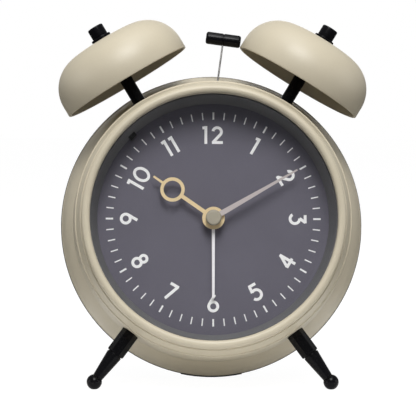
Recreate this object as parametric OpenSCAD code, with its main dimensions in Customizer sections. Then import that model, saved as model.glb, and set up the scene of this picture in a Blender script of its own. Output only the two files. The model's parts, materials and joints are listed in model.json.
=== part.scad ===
// Twin-bell alarm clock with a battery movement, a dial lamp and a motor-driven hammer between its bells.
// Every piece is drawn in the clock's own frame: the origin is the centre of the dial's front face, +X is
// to the right as the dial is read, +Y runs into the case and +Z is up. stand_up() then leans the whole
// clock back onto its two ball feet and the heel of its rear cover, with the surface that it stands on at
// Z = 0.

/* [Dial and glass] */
// Radius of the dial inside the inner ring
dial_r = 43.8; // [43.4:0.1:44.2]
// Thickness of the dial plate
dial_t = 0.6; // [0.4:0.1:0.7]
// Outer radius of the dial plate, the inner ring and the glass
stack_r = 47.2; // [47:0.1:47.3]
// Radius of the inner ring at its front edge
ring_front_r = 45.8; // [45.6:0.1:46]
// Height of the inner ring in front of the dial
ring_h = 10; // [9:0.5:10]
// Thickness of the glass
glass_t = 1.5; // [1.2:0.1:1.5]
// Thickness of the printed marks
print_t = 0.08; // [0.05:0.01:0.15]
// Inner radius of the minute marks
tick_in_r = 37.8; // [37:0.1:38.2]
// Outer radius of the minute marks
tick_out_r = 40.6; // [40:0.1:42]
// Width of a minute mark
tick_w = 0.45; // [0.3:0.05:0.6]
// Width of a five-minute mark
tick_five_w = 0.68; // [0.6:0.02:1]
// Radius of the circle through the middles of the numerals
numeral_r = 31.9; // [31:0.1:32.5]
// Height of the numerals
numeral_h = 6.8; // [6:0.1:7.4]
// Stroke width of the numerals
numeral_w = 1.1; // [0.8:0.05:1.2]

/* [Hands] */
// Length of the minute hand from the centre
minute_l = 36.4; // [34:0.1:37]
// Length of the hour hand from the centre
hour_l = 27.5; // [26:0.1:28]
// Length of the alarm hand from the centre
alarm_l = 30; // [28:0.1:31]
// Thickness of each hand
hand_t = 0.35; // [0.3:0.05:0.5]
// Minute hand's angle, clockwise from twelve
minute_angle = 60; // [0:1:359]
// Hour hand's angle, clockwise from twelve
hour_angle = 304.8; // [0:0.1:359.9]
// Alarm hand's angle, clockwise from twelve
alarm_angle = 180; // [0:1:359]

/* [Case] */
// Outer radius of the case wall at its front edge
wall_front_r = 51.9; // [51.8:0.1:52]
// How much the case wall opens towards the back, in degrees
wall_taper = 5.3; // [5:0.1:5.6]
// Depth at which the wall starts to flare
flare_y = 18; // [17.5:0.5:18.5]
// Outer radius of the case at the end of the flare
flare_r = 58.7; // [58.5:0.1:58.9]
// Depth of the end of the flare
flare_end_y = 29.5; // [29:0.1:30]
// Radius of the flare's curve in section
flare_curve_r = 29.5; // [26:0.5:36]
// Thickness of the case sheet
case_t = 1.0; // [0.8:0.1:1]
// Radius of the rolled rim's bead
bead_r = 0.8; // [0.7:0.05:0.9]
// Outer radius of the rear cover's rim
cover_r = 59.5; // [59.3:0.1:59.6]
// Depth of the rear cover's back face
back_y = 38.6; // [38.4:0.1:39]
// Wall thickness of the rear cover
cover_t = 1.4; // [1.2:0.1:1.6]

/* [Legs] */
// Angle of each leg from straight down
leg_angle = 36.1; // [34:0.1:38]
// Depth at which the legs stand on the case wall
leg_y = 7.5; // [6:0.1:9]
// Length of the hexagonal part
leg_hex_l = 10; // [8:0.5:11]
// Width of the hexagonal part across its corners
leg_hex_w = 6.9; // [6.6:0.1:7.1]
// Distance from the case wall to the centre of the ball foot
leg_ball_l = 23.1; // [22.5:0.1:23.6]
// Radius of the ball foot
ball_r = 2.9; // [2.7:0.1:3]
// Depth of the small flat under each ball foot
foot_flat = 0.2; // [0.1:0.05:0.3]

/* [Bells and hammer] */
// Angle of each bell from straight up
bell_angle = 31.3; // [31:0.1:31.6]
// Depth at which the bell stems stand on the case wall
bell_y = 14.3; // [14:0.1:14.5]
// Distance from the case wall to the bell's rim plane
bell_gap = 9.9; // [9.8:0.1:10.2]
// Outer radius of the bell's rim
bell_r = 26.3; // [26:0.1:26.3]
// Height of the bell's straight side
bell_side_h = 4.3; // [4:0.1:4.5]
// Radius of the bell's shoulder in section
bell_shoulder_r = 14.2; // [14:0.1:14.4]
// Height of the bell
bell_h = 19.2; // [19.1:0.1:19.6]
// Thickness of the bell sheet
bell_t = 1.0; // [0.9:0.1:1.1]
// Radius of the bell stems
stem_r = 2.5; // [2.2:0.1:2.6]
// Distance from the hammer's pivot to the middle of its head
hammer_l = 31.5; // [31.3:0.1:31.6]
// Angle of the resting hammer, clockwise from straight up
hammer_rest = 7.6; // [7.3:0.1:7.6]
// Length of the hammer head
head_l = 13.6; // [13.2:0.1:13.6]
// Diameter of the hammer head
head_d = 4.8; // [4.4:0.1:4.8]
// Diameter of the hammer wire
wire_d = 0.7; // [0.6:0.1:1]

/* [Hidden] */
$fn = 64;

// Colours
sand = [0.67, 0.63, 0.54];
black = [0.05, 0.05, 0.06];
ring_grey = [0.24, 0.24, 0.24];
dial_grey = [0.28, 0.27, 0.30];
steel = [0.70, 0.70, 0.72];
brass = [0.76, 0.62, 0.32];
pale_plastic = [0.85, 0.84, 0.80];
board_green = [0.10, 0.32, 0.18];
copper = [0.72, 0.38, 0.20];

// Small gaps
eps = 0.01;          // overlap between the shapes of one piece
run = 0.06;          // radial clearance of a shaft in its bearing
hole_gap = 0.1;      // radial clearance of a screw or stud in its hole
press = 0.005;       // radial clearance of pieces that are pressed together

// Front stack, measured along Y from the dial's face
ring_y = -ring_h;
glass_y = ring_y - glass_t;
gasket_t = 0.5;
lip_y = glass_y - gasket_t;
bezel_back_y = -3.5;
crest_y = -15;
lip_r = 46.0;
bezel_r = 52.1;

// Case section
flare_mid = [(wall_r(flare_y) + flare_r) / 2, (flare_y + flare_end_y) / 2];
flare_chord = [flare_r, flare_end_y] - [wall_r(flare_y), flare_y];
flare_side = [-flare_chord[1], flare_chord[0]] / norm(flare_chord);
flare_centre = flare_mid + flare_side * sqrt(flare_curve_r ^ 2 - norm(flare_chord) ^ 2 / 4);
flare_a = heading([wall_r(flare_y), flare_y] - flare_centre);
flare_b = heading([flare_r, flare_end_y] - flare_centre);
bead_y = flare_end_y + 0.9;
boss_r = 52.3;       // radius of the circle of the four cover screws
boss_y = 30.5;       // depth of the faces that the cover is screwed to

// Rear cover
cover_y = bead_y + bead_r;
cover_rim_t = 2.2;
cover_round = 3;
bay_x = 27.4;        // half the length of the battery bay
bay_top = -17.4;
bay_bottom = -47.8;
bay_front_y = 21.2;
bay_r = 54.6;        // the bay's corners stay inside this radius
door_rim = 1.2;      // wall of the battery bay; the battery door rests on its inner half
bay_mid_y = 29.5;    // depth of the middles of the two cells
upper_cell_z = -25.2;
lower_cell_z = -40.2;
lead_z = [-25, -38];  // heights of the holes for the two battery leads

// Leaning the clock back: the balls and the heel touch the surface together
heel_y = 35.5;
heel_r = 59.6;
heel_w = 24;
heel_round_r = heel_r + 0.2;  // the heel is part of a disc of this radius
ball_y = leg_y - leg_ball_l * sin(wall_taper);
ball_z = -(wall_r(leg_y) + leg_ball_l * cos(wall_taper)) * cos(leg_angle);
span = [heel_y - ball_y, ball_z + heel_r];
lean = asin((ball_r - foot_flat) / norm(span)) - atan2(span[1], span[0]);
stand_z = heel_y * sin(lean) + heel_r * cos(lean);
stand_y = -12.71;    // puts the middle of the clock's depth at Y = 0

// Movement: wheels are given by tooth count and module, and their axes follow from the centre distances
go_mod = 0.4;
rotor_mod = 0.35;
work_mod = 0.5;
hour_mod = 0.48;
centre_z = 48;
leaf_z = 8;
second_z = 50;
rotor_z = 10;
cannon_z = 12;
work_z = 36;
work_leaf_z = 10;
hour_z = 40;
knob_z = 12;
alarm_z = 48;
alarm_pinion_z = 16;
go_dist = go_mod * (centre_z + leaf_z) / 2;
rotor_dist = rotor_mod * (second_z + rotor_z) / 2;
work_dist = work_mod * (cannon_z + work_z) / 2;
knob_dist = work_mod * (work_z + knob_z) / 2;
alarm_dist = work_mod * (alarm_z + alarm_pinion_z) / 2;
third_dir = 50;
second_dir = 165;
rotor_dir = 200;
third_at = polar(go_dist, third_dir);
second_at = third_at + polar(go_dist, second_dir);
rotor_at = second_at + polar(rotor_dist, rotor_dir);
knob_x = 14;
alarm_knob_at = [knob_x, -sqrt(alarm_dist ^ 2 - knob_x ^ 2)];
time_knob_at = [-knob_x, alarm_knob_at[1]];
work_half = norm(time_knob_at) / 2;
work_side = [time_knob_at[1], -time_knob_at[0]] / norm(time_knob_at);
work_at = time_knob_at / 2 - work_side * sqrt(work_dist ^ 2 - work_half ^ 2);
work_dir = heading(work_at);
knob_dir = heading(time_knob_at - work_at);
alarm_dir = heading(alarm_knob_at);

// Depths in the movement
front_plate_y = 0.8;
housing_y = 2.2;
bridge_y = 7.2;
bridge_t = 0.6;
housing_back_y = 15.5;
housing_t = 1.2;
housing_x = 27.6;
housing_top = 22.5;
housing_bottom = -26;
board_y = 16;
board_t = 1;
post_r = 0.8;
train_pin_r = 0.5;
arbor_r = 1.0;
hour_tube_r = 1.6;
alarm_tube_r = 2.3;
bush_r = 3.2;
shaft_r = 1.5;
coil_at = [-21.5, 11.3];  // X and depth of the coil's axis

// Depths of the front faces of the hands
alarm_hand_y = -2.3;
hour_hand_y = -3.85;
minute_hand_y = -5.2;
lamp_angle = -44.5;
lamp_r = 44;          // radius at which the lamp's stem passes the dial plate

// Striker
pivot_z = 40;
striker_z = 32;
striker_pinion_z = 10;
striker_mod = 0.5;
striker_at = [0, 29];
motor_dist = striker_mod * (striker_z + striker_pinion_z) / 2;
motor_at = striker_at + [motor_dist, 0];
crank_r = 1.6;
crank_pin_r = 0.75;
fork_half = 4.2;
lever_y = 13.3;
lever_t = 1.4;
lever_mid_y = lever_y + lever_t / 2;
bracket_y = 17.4;
bracket_t = 1.2;
motor_r = 7.5;

// Rear controls
switch_at = [-20, 8];
switch_travel = 5;
button_at = [20, 8];
button_r = 4;

// Outer radius of the case wall at depth y
function wall_r(y) = wall_front_r + (y - bezel_back_y) * tan(wall_taper);
// Direction of a vector in degrees
function heading(v) = atan2(v[1], v[0]);
// A vector of length r in direction a
function polar(r, a) = [r * cos(a), r * sin(a)];
// Points of an arc about c
function arc(c, r, a, b, n) = [for (i = [0:n]) c + polar(r, a + (b - a) * i / n)];
// Phase of a gear with nb teeth, in direction d from a gear with na teeth whose phase is a
function mesh_phase(a, na, d, nb) = d + 180 + 180 / nb + (d - a) * na / nb;

// A vector of length 1
function unit(v) = v / norm(v);
// Direction of a path at its point i
function run_of(p, i) = unit((i > 0 ? unit(p[i] - p[i - 1]) : [0, 0, 0])
  + (i < len(p) - 1 ? unit(p[i + 1] - p[i]) : [0, 0, 0]));
// A direction square to the path at its point i, carried along without twist
function side_of(p, i) = i == 0 ? unit(cross(run_of(p, 0), [1, 2, 5]))
  : unit(side_of(p, i - 1) - run_of(p, i) * (side_of(p, i - 1) * run_of(p, i)));

// Places a piece in the row frame
module stand_up() {
  translate([0, stand_y, stand_z]) rotate([-lean, 0, 0]) children();
}

// Everything under the surface that the clock stands on
module below_floor() {
  translate([-100, -100, -50]) cube([200, 200, 50]);
}

// Revolves an outline of [radius, depth] points about the clock's axis
module turned(fn = 180) {
  rotate([-90, 0, 0]) rotate_extrude($fn = fn) children();
}

// Extrudes an [x, z] outline from depth a to depth b
module slab(a, b) {
  translate([0, b, 0]) rotate([90, 0, 0]) linear_extrude(b - a) children();
}

// A round bar along the clock's axis from depth a to depth b, at the [x, z] place at
module bar_y(at, a, b, r, fn = 48) {
  translate([at[0], a, at[1]]) rotate([-90, 0, 0]) cylinder(r = r, h = b - a, $fn = fn);
}

// A frame on the case wall: +Z stands square on the wall, at an angle clockwise from straight up
module on_wall(angle, y) {
  rotate([0, angle, 0]) translate([0, y, wall_r(y)]) rotate([wall_taper, 0, 0]) children();
}

// Outline of a gear with straight-sided teeth, with one tooth on the +X side when phase is 0
module gear_outline(teeth, mod, phase, pinion = false) {
  pitch_r = mod * teeth / 2;
  tip_r = pitch_r + 0.85 * mod;
  root_r = pitch_r - 1.2 * mod;
  pitch_half = 90 / teeth - 0.13 * mod * 180 / (PI * pitch_r);
  tip_half = (0.36 * mod) * 180 / (PI * tip_r);
  root_half = pinion ? pitch_half : pitch_half * 1.35;
  rotate(phase) polygon([
    for (i = [0:teeth - 1])
      for (p = [[root_r, -root_half], [pitch_r, -pitch_half], [tip_r, -tip_half],
                [tip_r, tip_half], [pitch_r, pitch_half], [root_r, root_half]])
        polar(p[0], p[1] + 360 * i / teeth)
  ]);
}

// ---------------------------------------------------------------- case and front

module case_profile() {
  flare = arc(flare_centre, flare_curve_r, flare_a, flare_b, 10);
  polygon(concat(
    [[stack_r + 0.4, bezel_back_y], [wall_front_r, bezel_back_y]],
    flare,
    [for (i = [len(flare) - 1:-1:0]) flare[i] + [-case_t * 1.12, case_t * 0.35]],
    [[wall_r(0) - case_t, bezel_back_y + case_t], [stack_r + 0.4, bezel_back_y + case_t]]
  ));
  translate([flare_r - 0.3, bead_y]) circle(r = bead_r, $fn = 32);
}

module boss_places() {
  for (a = [45:90:315]) translate([boss_r * sin(a), 0, boss_r * cos(a)]) children();
}

module case_shell() {
  color(sand) stand_up() difference() {
    union() {
      turned(256) case_profile();
      boss_places() bar_y([0, 0], boss_y - 9, boss_y, 3.4);
    }
    boss_places() bar_y([0, 0], boss_y - 7.5, boss_y + 1, 1.2);
    for (s = [-1, 1]) {
      on_wall(s * bell_angle, bell_y) translate([0, 0, -6]) cylinder(r = 1.6, h = 12);
      on_wall(180 + s * leg_angle, leg_y) translate([0, 0, -6]) cylinder(r = 1.6, h = 12);
    }
    translate([-4, lever_mid_y - 1.5, 46]) cube([8, 3, 12]);
  }
}

module bezel_ring() {
  crest_r = 1.5;
  step_1 = [49.25, -9.4];
  step_2 = [51.6, -4.3];
  round_r = 0.35;
  color(sand) stand_up() turned(256) polygon(concat(
    [[stack_r + 0.15, lip_y], [lip_r, lip_y]],
    [[lip_r, lip_y - 0.25]],
    arc([47.5, crest_y + crest_r], crest_r, 200, 350, 14),
    [[49.1, -12.2]],
    [step_1 + [-0.05, -0.35]],
    arc(step_1 + [0.25, round_r], round_r, 250, 345, 5),
    [step_2 + [-0.12, -0.4]],
    arc([bezel_r - round_r, step_2[1] + round_r], round_r, 260, 360, 5),
    [[bezel_r, bezel_back_y], [stack_r + 0.15, bezel_back_y]]
  ));
}

module front_glass() {
  color([0.85, 0.92, 0.95, 0.3]) stand_up() bar_y([0, 0], glass_y, ring_y, stack_r, 256);
}

module glass_gasket() {
  color(black) stand_up() turned(128) translate([lip_r + 0.1, lip_y]) square([1.0, gasket_t]);
}

module dial_ring() {
  color(ring_grey) stand_up() difference() {
    turned(256) polygon([[dial_r, 0], [ring_front_r, ring_y], [stack_r, ring_y], [stack_r, 0]]);
    lamp_block(0.05);
  }
}

// The block of the dial lamp, on the inner ring at half past ten
module lamp_block(gap) {
  rotate([0, lamp_angle, 0]) translate([-1.5 - gap, -3 - gap, 42.7 - gap])
    cube([3 + 2 * gap, 3.5, 2.7 + 2 * gap]);
}

module dial_plate() {
  color(dial_grey) stand_up() difference() {
    bar_y([0, 0], 0, dial_t, stack_r, 256);
    bar_y([0, 0], -1, dial_t + 1, bush_r + hole_gap);
    rotate([0, lamp_angle, 0]) bar_y([0, lamp_r], -1, dial_t + 1, 0.8, 24);
  }
}

module lamp_holder() {
  color(black) stand_up() difference() {
    intersection() {
      lamp_block(0);
      bar_y([0, 0], -5, -eps, 60);
    }
    rotate([0, lamp_angle, 0]) bar_y([0, lamp_r], -1.6, 1, 0.6, 24);
  }
}

module minute_track() {
  color("white") stand_up() slab(-print_t, 0) for (i = [0:59]) {
    w = i % 5 == 0 ? tick_five_w : tick_w;
    rotate(6 * i) translate([-w / 2, tick_in_r]) square([w, tick_out_r - tick_in_r]);
  }
}

// ---------------------------------------------------------------- numerals

// A straight stroke between two points; its ends are square and run on by the given amounts
module stroke(a, b, run_a = 0, run_b = 0) {
  d = b - a;
  translate(a) rotate(heading(d))
    translate([-run_a, -numeral_w / 2]) square([norm(d) + run_a + run_b, numeral_w]);
}

// A curved stroke about c, with mean radius r, from angle a to angle b
module bend(c, r, a, b) {
  n = ceil(abs(b - a) / 15);
  polygon(concat(arc(c, r + numeral_w / 2, a, b, n), arc(c, r - numeral_w / 2, b, a, n)));
}

module oval(a, b) {
  polygon([for (t = [0:7.5:352.5]) [a * cos(t), b * sin(t)]]);
}

// One digit, centred on the origin, numeral_h high
module digit(d) {
  top = numeral_h / 2 - numeral_w / 2;
  half = numeral_w / 2;
  zero_half_w = 2.15;
  if (d == 0) difference() {
    oval(zero_half_w + half, top + half);
    oval(zero_half_w - half, top - half);
  }
  if (d == 1) {
    stroke([0, -top], [0, top], half, half);
    stroke([0, top], [-1.3, top - 0.15], 0, 0);
  }
  if (d == 2) {
    bend([0, top - 1.6], 1.6, -38, 172);
    stroke([1.26, top - 2.58], [-1.55, -top + 0.1], 0.1, 0);
    stroke([-2.0, -top], [2.15, -top], 0, 0);
  }
  if (d == 3) {
    stroke([-1.5, top], [1.45, top], 0, 0.15);
    stroke([1.4, top + 0.1], [-0.25, 0.75], 0, 0);
    bend([-0.1, -top + 1.8], 1.8, -150, 95);
  }
  if (d == 4) {
    stroke([0.75, -top], [0.75, top], half, half);
    stroke([0.7, top], [-1.75, -1.2], 0.3, 0);
    stroke([-2.1, -1.35], [1.9, -1.35], 0, 0);
  }
  if (d == 5) {
    stroke([-1.15, top], [1.5, top], 0.3, 0);
    stroke([-1.05, top], [-1.25, 0.35], 0, 0.1);
    bend([-0.15, -top + 1.85], 1.85, -150, 128);
  }
  if (d == 6 || d == 9) rotate(d == 9 ? 180 : 0) {
    bend([0, -top + 1.7], 1.7, 0, 180);
    bend([0, -top + 1.7], 1.7, 180, 360);
    stroke([-1.45, -top + 2.6], [0.55, top + 0.3], 0, 0.1);
  }
  if (d == 7) {
    stroke([-1.7, top], [1.7, top], 0, 0.15);
    stroke([1.45, top + 0.1], [-0.75, -top - 0.3], 0, 0);
  }
  if (d == 8) {
    for (a = [0, 180]) {
      bend([0, top - 1.3], 1.3, a, a + 180);
      bend([0, -top + 1.6], 1.6, a, a + 180);
    }
  }
}

// An hour number, with its digits side by side
module hour_number(h) {
  if (h < 10) digit(h);
  if (h == 10) {
    translate([-3.4, 0]) digit(1);
    translate([0.95, 0]) digit(0);
  }
  if (h == 11) for (x = [-1.5, 1.5]) translate([x, 0]) digit(1);
  if (h == 12) {
    translate([-2.85, 0]) digit(1);
    translate([1.45, 0]) digit(2);
  }
}

module dial_numerals() {
  color("white") stand_up() slab(-print_t, 0) for (h = [1:12]) {
    reads_inward = h >= 4 && h <= 8;
    rotate(-30 * h) translate([0, numeral_r]) rotate(reads_inward ? 180 : 0) hour_number(h);
  }
}

// ---------------------------------------------------------------- bells, stems and legs

module bell_profile() {
  crown_r = 4;
  flat_r = bell_r - bell_shoulder_r;
  shoulder_h = bell_side_h + bell_shoulder_r;
  inner = arc([flat_r, bell_side_h], bell_shoulder_r - bell_t, 90, 0, 16);
  polygon(concat(
    [[1.9, bell_h - bell_t], [1.9, bell_h], [crown_r, bell_h]],
    [[flat_r * 0.6, (bell_h * 2 + shoulder_h) / 3]],
    arc([flat_r, bell_side_h], bell_shoulder_r, 90, 0, 18),
    [[bell_r, 0.3], [bell_r - 0.3, 0], [bell_r - bell_t + 0.2, 0], [bell_r - bell_t, 0.2]],
    [for (i = [len(inner) - 1:-1:0]) inner[i]],
    [[flat_r * 0.6, (bell_h * 2 + shoulder_h) / 3 - bell_t], [crown_r, bell_h - bell_t]]
  ));
}

module bell(side) {
  color(sand) stand_up() on_wall(side * bell_angle, bell_y)
    translate([0, 0, bell_gap]) rotate_extrude($fn = 192) bell_profile();
}

module bell_stem(side) {
  top = bell_gap + bell_h - bell_t;
  color(black) stand_up() on_wall(side * bell_angle, bell_y) {
    translate([0, 0, -4.5]) cylinder(r = 1.5, h = 5);
    cylinder(r = stem_r, h = top);
    cylinder(r = stem_r + 0.9, h = 1.4);
    translate([0, 0, top - eps]) cylinder(r = 1.8, h = 4);
  }
}

module bell_nut(side) {
  at = bell_gap + bell_h;
  color(black) stand_up() on_wall(side * bell_angle, bell_y) translate([0, 0, at]) difference() {
    rotate_extrude() polygon([
      [0, 0], [3.9, 0], [4.05, 0.15], [4.05, 1.1], [3.9, 1.3], [3.05, 1.3], [3.05, 1.6], [3.2, 1.7],
      [3.2, 5.3], [2.8, 5.7], [0, 5.7]
    ]);
    translate([0, 0, -1]) cylinder(r = 1.8 + run, h = 4.3);
  }
}

module leg(side) {
  neck_l = leg_ball_l - ball_r;
  hex_end_r = leg_hex_w / 2 - 0.4;
  color(black) difference() {
    stand_up() on_wall(180 + side * leg_angle, leg_y) {
      translate([0, 0, -4.5]) cylinder(r = 1.5, h = 5);
      intersection() {
        cylinder(r = leg_hex_w / 2, h = leg_hex_l, $fn = 6);
        cylinder(r1 = hex_end_r + leg_hex_l, r2 = hex_end_r, h = leg_hex_l);
      }
      translate([0, 0, leg_hex_l - eps]) cylinder(r = 2.75, h = 0.4);
      translate([0, 0, leg_hex_l + 0.3]) cylinder(r1 = 2.8, r2 = 3.05, h = 0.3);
      translate([0, 0, leg_hex_l + 0.6 - eps]) cylinder(r1 = 3.05, r2 = 1.95, h = neck_l - leg_hex_l + 0.2);
      translate([0, 0, leg_ball_l]) sphere(r = ball_r);
    }
    below_floor();
  }
}

module stud_nut() {
  translate([0, 0, -case_t - 2.6]) difference() {
    cylinder(r = 3.1, h = 2.4, $fn = 6);
    translate([0, 0, -1]) cylinder(r = 1.5 + 0.02, h = 5);
  }
}

module stud_nuts() {
  color(steel) stand_up() for (s = [-1, 1]) {
    on_wall(s * bell_angle, bell_y) stud_nut();
    on_wall(180 + s * leg_angle, leg_y) stud_nut();
  }
}

// ---------------------------------------------------------------- rear cover

module cover_profile() {
  round_c = [cover_r - 0.5 - cover_round, back_y - cover_round];
  inner = arc(round_c, cover_round - cover_t, 0, 90, 6);
  skirt_r = flare_r - 2.9;
  skirt_y = cover_y - 1.6;
  polygon(concat(
    [[0, back_y - cover_t], [0, back_y]],
    arc(round_c, cover_round, 90, 0, 8),
    [[cover_r - 0.5, cover_y + cover_rim_t], [cover_r, cover_y + cover_rim_t - 0.3], [cover_r, cover_y]],
    [[skirt_r + cover_t, cover_y], [skirt_r + cover_t, skirt_y], [skirt_r, skirt_y]],
    [[skirt_r, cover_y + 1]],
    inner
  ));
}

// The battery bay's outline, grown by a wall
module bay_outline(wall) {
  intersection() {
    translate([-bay_x - wall, bay_bottom - wall])
      square([2 * (bay_x + wall), bay_top - bay_bottom + 2 * wall]);
    circle(r = bay_r - door_rim + wall, $fn = 128);
  }
}

// The rest at the bottom of the rear cover
module heel() {
  intersection() {
    slab(cover_y + eps, heel_y) circle(r = heel_round_r, $fn = 192);
    translate([-heel_w / 2, cover_y, -heel_r - 2]) cube([heel_w, heel_y, 8]);
  }
}

module rear_cover() {
  color(black) difference() {
    stand_up() difference() {
      union() {
        turned(192) cover_profile();
        slab(bay_front_y, back_y - cover_t + eps) bay_outline(door_rim);
        boss_places() bar_y([0, 0], boss_y, back_y - eps, 3.9);
        heel();
      }
      slab(bay_front_y + 0.8, back_y + 1) bay_outline(0);
      slab(back_y - cover_t, back_y + 1) bay_outline(door_rim / 2);
      boss_places() {
        bar_y([0, 0], boss_y - 1, back_y + 1, 1.4);
        bar_y([0, 0], 34, back_y + 1, 3.0);
      }
      for (at = [time_knob_at, alarm_knob_at]) bar_y(at, back_y - 5, back_y + 1, shaft_r + 0.5);
      bar_y(button_at, back_y - 5, back_y + 1, button_r + 0.2);
      for (z = lead_z)
        translate([bay_x - 0.3, bay_mid_y, z]) rotate([0, 90, 0]) cylinder(r = 0.9, h = 3, $fn = 24);
      translate([switch_at[0] - switch_travel / 2 - 2.8, back_y - 5, switch_at[1] - 1.9])
        cube([switch_travel + 5.6, 6, 3.8]);
    }
    below_floor();
  }
}

module cover_screws() {
  color(steel) stand_up() boss_places() difference() {
    union() {
      bar_y([0, 0], boss_y - 7, 34 + eps, 1.15);
      bar_y([0, 0], 34, 35.6, 2.6);
    }
    for (a = [0, 90]) rotate([0, a, 0]) translate([-1.6, 34.9, -0.3]) cube([3.2, 2, 0.6]);
  }
}

module battery(z, side) {
  stand_up() translate([0, bay_mid_y, z]) rotate([0, side * 90, 0]) {
    color([0.12, 0.12, 0.13]) translate([0, 0, -24.6]) cylinder(r = 7.2, h = 49.0);
    color(steel) translate([0, 0, 24.4 - eps]) cylinder(r = 2.75, h = 1.1);
  }
}

module battery_contacts() {
  plate = 10.8;
  plate_t = 0.4;
  cell_z = [lower_cell_z, upper_cell_z];
  color(steel) stand_up() for (s = [-1, 1]) {
    for (i = [0, 1])
      translate([s * (bay_x - plate_t - 0.1), bay_mid_y, cell_z[i]]) rotate([0, s * 90, 0]) {
        translate([-plate / 2, -plate / 2, 0]) cube([plate, plate, plate_t]);
        if ((i == 0) == (s > 0)) {
          for (k = [0:3]) translate([0, 0, -0.5 - 0.5 * k]) rotate_extrude($fn = 32)
            translate([4.2 - 0.35 * k, 0]) square([0.6, 0.55]);
        } else {
          translate([0, 0, -1.2]) cylinder(r1 = 1.5, r2 = 2.4, h = 1.2 + eps, $fn = 32);
        }
      }
    if (s < 0) translate([-bay_x + 0.1, bay_mid_y - plate / 2, lower_cell_z])
      cube([plate_t, plate, upper_cell_z - lower_cell_z]);
  }
}

module battery_door() {
  color(black) stand_up() {
    slab(back_y - cover_t + 0.05, back_y) difference() {
      bay_outline(door_rim / 2 - 0.25);
      translate([0, bay_top - 2.6]) square([9, 1.2], center = true);
    }
    for (i = [0:4]) translate([-5, back_y - eps, bay_top - 6.5 - 1.3 * i]) cube([10, 0.4, 0.6]);
    for (s = [-1, 1]) translate([s * 16 - 2, back_y - cover_t - 2.5, bay_bottom + 0.3]) cube([4, 3, 1]);
  }
}

// ---------------------------------------------------------------- movement: fixed pieces

module housing_outline(inset) {
  translate([-housing_x + inset, housing_bottom + inset])
    square([2 * (housing_x - inset), housing_top - housing_bottom - 2 * inset]);
}

module movement_front() {
  color(pale_plastic) stand_up() difference() {
    union() {
      slab(front_plate_y, housing_y) housing_outline(0);
      bar_y([0, 0], -1.35, front_plate_y + eps, bush_r);
    }
    bar_y([0, 0], -2, housing_y + 1, alarm_tube_r + run);
  }
}

module movement_rear() {
  color(pale_plastic) stand_up() difference() {
    slab(housing_y, housing_back_y) housing_outline(0);
    slab(housing_y - 1, housing_back_y - housing_t) housing_outline(housing_t);
    bar_y([0, 0], 10, 20, arbor_r + run);
    for (at = [third_at, second_at, rotor_at]) bar_y(at, 10, 20, train_pin_r + run);
    for (at = [time_knob_at, alarm_knob_at]) bar_y(at, 10, 20, shaft_r + run);
  }
}

module train_bridge() {
  color(brass) stand_up() {
    slab(bridge_y, bridge_y + bridge_t) difference() {
      housing_outline(housing_t);
      circle(r = arbor_r + run);
      for (at = [third_at, second_at, rotor_at]) translate(at) circle(r = train_pin_r + run);
      for (at = [time_knob_at, alarm_knob_at]) translate(at) circle(r = shaft_r + run);
    }
    bar_y(work_at, 4.0, bridge_y + eps, post_r);
  }
}

module centre_nut() {
  color(steel) stand_up() difference() {
    translate([0, -1.2, 0]) rotate([-90, 0, 0]) cylinder(r = 4.15, h = 1.2, $fn = 6);
    bar_y([0, 0], -2, 1, bush_r + 0.02);
  }
}

module circuit_board() {
  color(board_green) stand_up() slab(board_y, board_y + board_t) difference() {
    translate([-24, -24]) square([48, 38]);
    for (at = [time_knob_at, alarm_knob_at]) translate(at) circle(r = 2.4);
    for (x = [-22, 22]) translate([x, -22]) circle(r = 1.1);
  }
}

module board_parts() {
  y = board_y + board_t;
  stand_up() {
    color(black) translate([-4, y, -18]) cube([8, 1.4, 8]);
    color(steel) translate([-8, y + 1, 1]) rotate([0, 90, 0]) cylinder(r = 1, h = 6, $fn = 24);
    color(brass) bar_y([8, 5], y, y + 4, 2.2, 32);
    color(black) translate([button_at[0] - 3, y, button_at[1] - 3]) cube([6, 2.4, 6]);
    color(steel) bar_y(button_at, y + 2.4 - eps, y + 2.8, 1.4, 24);
  }
}

module coil() {
  stand_up() {
    color(copper) translate([coil_at[0], coil_at[1], -10.2]) cylinder(r = 2.7, h = 14.4);
    for (z = [-11, 4.2 - eps])
      color(pale_plastic) translate([coil_at[0], coil_at[1], z]) cylinder(r = 2.9, h = 0.81);
    for (z = [-14, 5 - eps])
      color(steel) translate([coil_at[0] - 1.2, coil_at[1] - 0.2, z]) cube([2.4, 1.2, 3.01]);
  }
}

module stator() {
  color(steel) stand_up() slab(12.3, 13.1) difference() {
    union() {
      translate([-24, 5.3]) square([15.5, 6.8]);
      translate([-18.2, -14]) square([1.9, 20]);
      translate([-24, -14]) square([7.7, 2.6]);
    }
    translate(rotor_at) circle(r = 3.0);
  }
}

// A lead of radius r along its points, as one closed tube
module lead(points, r, tint) {
  sides = 8;
  last = len(points) - 1;
  rings = [for (i = [0:last]) for (k = [0:sides - 1])
    points[i] + r * (cos(360 * k / sides) * side_of(points, i)
      + sin(360 * k / sides) * cross(run_of(points, i), side_of(points, i)))];
  walls = [for (i = [0:last - 1]) for (k = [0:sides - 1])
    [i * sides + k, (i + 1) * sides + k, (i + 1) * sides + (k + 1) % sides, i * sides + (k + 1) % sides]];
  caps = [[for (k = [0:sides - 1]) k], [for (k = [sides - 1:-1:0]) last * sides + k]];
  color(tint) polyhedron(rings, concat(walls, caps));
}

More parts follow.
